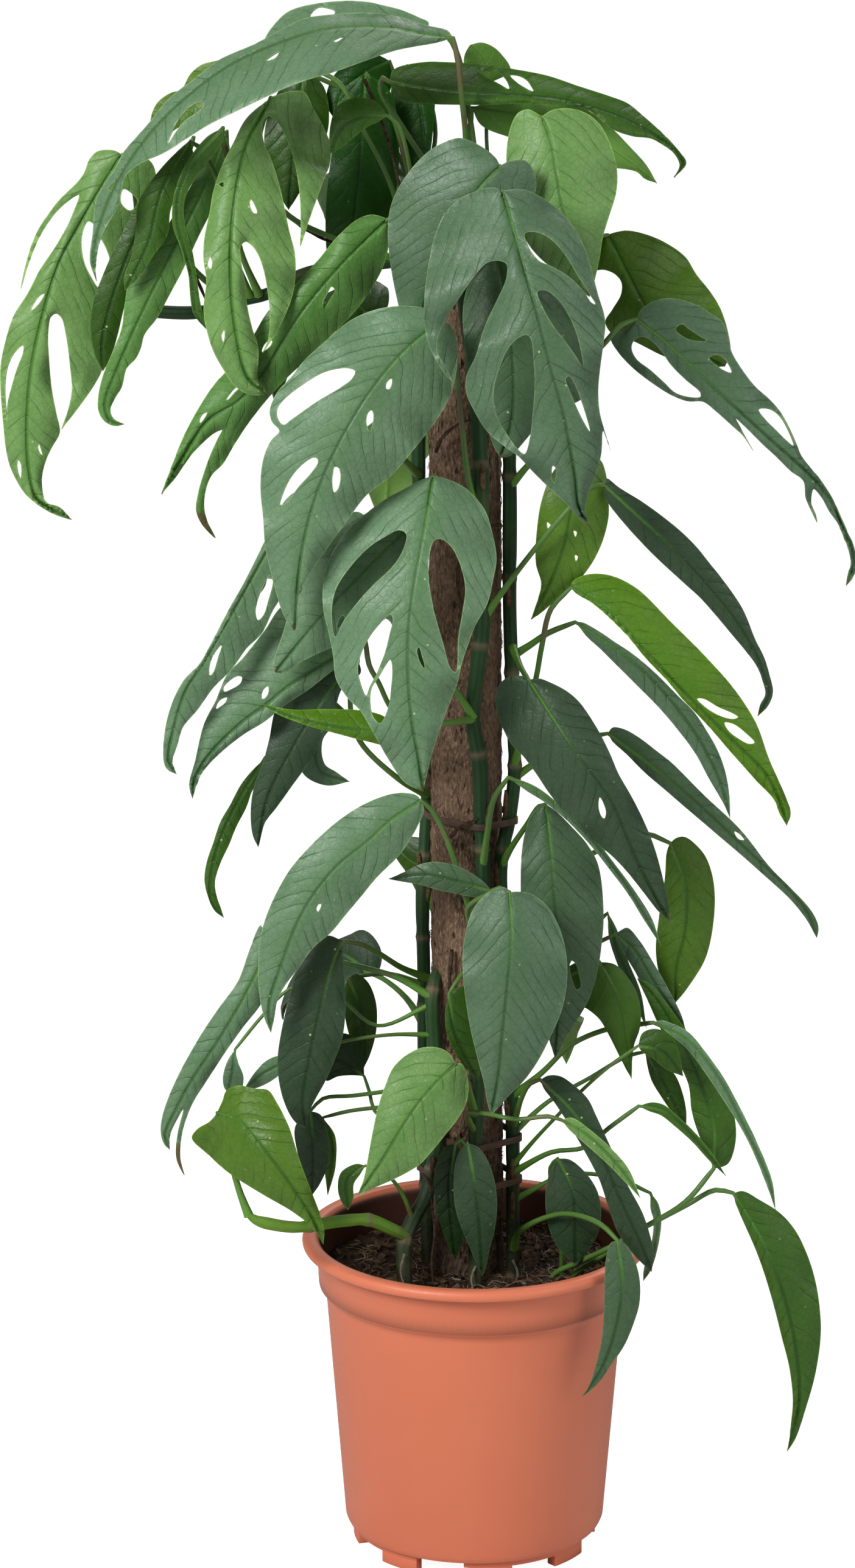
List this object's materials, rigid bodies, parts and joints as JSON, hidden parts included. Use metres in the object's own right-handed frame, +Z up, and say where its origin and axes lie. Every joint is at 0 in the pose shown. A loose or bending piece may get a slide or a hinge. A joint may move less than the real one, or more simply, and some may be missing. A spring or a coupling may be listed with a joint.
{
  "type": "potted climbing plant",
  "caption": "Climbing aroid on a fibre pole in a round nursery pot: stems tied to the pole, long split and windowed blue-green leaves on thin stalks.",
  "frame": {"origin": "the bottom centre of the whole plant's bounding box, on the floor under the pot's feet", "axes": "+Z up; the pot's axis is vertical; -Y faces the viewer of the picture"},
  "size_m": [0.5644, 0.3722, 1.0641],
  "materials": {
    "pot_plastic": "satin terracotta-coloured plastic",
    "soil": "dark moist peat with bark bits",
    "pole_fibre": "rough brown fibre",
    "tie": "matt brown strap",
    "stem": "smooth green stem",
    "leaf_blue": "satin blue-green leaf",
    "leaf_bright": "satin fresh green leaf"
  },
  "bodies": {
    "root": {"pot": "pot_plastic", "soil": "soil", "pole": "pole_fibre", "tie_upper": "tie", "tie_middle": "tie", "tie_lower": "tie", "vine_front": "stem", "vine_right": "stem", "vine_left": "stem", "vine_low_left": "stem", "shoot_arching": "stem", "leaf_crown_arching": "leaf_blue", "leaf_crown_back_top": "leaf_blue", "leaf_crown_back_left": "leaf_bright", "leaf_crown_hanging": "leaf_bright", "leaf_crown_far_left": "leaf_bright", "leaf_left_backlit": "leaf_bright", "leaf_left_blue": "leaf_blue", "leaf_crown_diagonal": "leaf_bright", "leaf_crown_right_arching": "leaf_blue", "leaf_crown_right_under": "leaf_bright", "leaf_crown_heart": "leaf_bright", "leaf_crown_round": "leaf_blue", "leaf_front_crown_split": "leaf_blue", "leaf_right_yellow": "leaf_bright", "leaf_right_split": "leaf_blue", "leaf_middle_left_large": "leaf_blue", "leaf_middle_grey": "leaf_blue", "leaf_left_long": "leaf_blue", "leaf_left_low_split": "leaf_blue", "leaf_front_middle_split": "leaf_blue", "leaf_left_bright_folded": "leaf_bright", "leaf_left_dark": "leaf_blue", "leaf_left_hanging_narrow": "leaf_blue", "leaf_lower_left_long": "leaf_blue", "leaf_lower_left_blue": "leaf_blue", "leaf_far_left_long": "leaf_blue", "leaf_pot_bright_left": "leaf_bright", "leaf_center_bright": "leaf_bright", "leaf_front_low": "leaf_blue", "leaf_right_of_front": "leaf_blue", "leaf_right_dark_large": "leaf_blue", "leaf_right_narrow_dark": "leaf_blue", "leaf_right_bright": "leaf_bright", "leaf_right_narrow_folded": "leaf_blue", "leaf_right_narrow_low": "leaf_blue", "leaf_behind_crown_yellow": "leaf_bright", "leaf_right_yellow_low": "leaf_bright", "leaf_right_under": "leaf_blue", "leaf_right_low_long": "leaf_blue", "leaf_right_low_yellow": "leaf_bright", "leaf_right_low_bright": "leaf_blue", "leaf_right_rolled": "leaf_bright", "leaf_pot_small_dark": "leaf_blue", "leaf_rim_front": "leaf_blue", "leaf_right_drooping": "leaf_bright", "leaf_pot_front": "leaf_blue", "leaf_left_pointing": "leaf_blue"}
  },
  "joints": []
}
